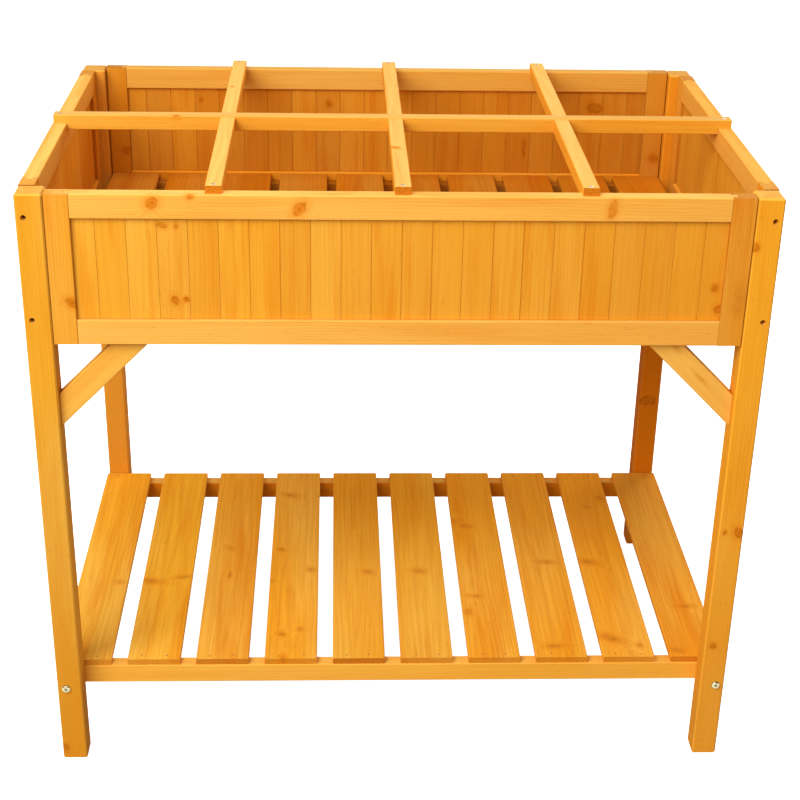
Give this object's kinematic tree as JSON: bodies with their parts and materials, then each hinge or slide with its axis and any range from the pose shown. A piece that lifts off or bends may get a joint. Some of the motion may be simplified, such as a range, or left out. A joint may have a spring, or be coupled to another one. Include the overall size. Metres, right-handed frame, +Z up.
{
  "type": "raised garden bed",
  "caption": "Wooden raised garden bed on tall legs with framed board sides, a divider grid on top and a slatted shelf below.",
  "frame": {"origin": "on the ground under the middle of the bed", "axes": "+X along the long side to the right as seen from the front, +Y from front to back, +Z up"},
  "size_m": [1.006, 0.6676, 0.9125],
  "materials": {
    "leg_wood": "satin stain",
    "frame_wood": "satin stain",
    "board_wood": "satin stain",
    "slat_wood": "satin stain",
    "divider_wood": "satin stain",
    "zinc_steel": "zinc plated"
  },
  "bodies": {
    "root": {"back_boards": "board_wood", "back_bottom_rail": "frame_wood", "back_stile_left": "frame_wood", "back_stile_right": "frame_wood", "back_top_rail": "frame_wood", "brace_back_left": "frame_wood", "brace_back_right": "frame_wood", "brace_front_left": "frame_wood", "brace_front_right": "frame_wood", "divider_cross_1": "divider_wood", "divider_cross_2": "divider_wood", "divider_cross_3": "divider_wood", "divider_long": "divider_wood", "floor_cleat_back": "frame_wood", "floor_cleat_front": "frame_wood", "floor_slat_1": "slat_wood", "floor_slat_10": "slat_wood", "floor_slat_2": "slat_wood", "floor_slat_3": "slat_wood", "floor_slat_4": "slat_wood", "floor_slat_5": "slat_wood", "floor_slat_6": "slat_wood", "floor_slat_7": "slat_wood", "floor_slat_8": "slat_wood", "floor_slat_9": "slat_wood", "frame_screws": "zinc_steel", "front_boards": "board_wood", "front_bottom_rail": "frame_wood", "front_stile_left": "frame_wood", "front_stile_right": "frame_wood", "front_top_rail": "frame_wood", "left_boards": "board_wood", "left_bottom_rail": "frame_wood", "left_stile_back": "frame_wood", "left_stile_front": "frame_wood", "left_top_rail": "frame_wood", "leg_back_left": "leg_wood", "leg_back_right": "leg_wood", "leg_front_left": "leg_wood", "leg_front_right": "leg_wood", "right_boards": "board_wood", "right_bottom_rail": "frame_wood", "right_stile_back": "frame_wood", "right_stile_front": "frame_wood", "right_top_rail": "frame_wood", "shelf_bolts": "zinc_steel", "shelf_nuts": "zinc_steel", "shelf_rail_back": "frame_wood", "shelf_rail_front": "frame_wood", "shelf_slat_1": "slat_wood", "shelf_slat_10": "slat_wood", "shelf_slat_2": "slat_wood", "shelf_slat_3": "slat_wood", "shelf_slat_4": "slat_wood", "shelf_slat_5": "slat_wood", "shelf_slat_6": "slat_wood", "shelf_slat_7": "slat_wood", "shelf_slat_8": "slat_wood", "shelf_slat_9": "slat_wood", "short_screws": "zinc_steel"}
  },
  "joints": []
}
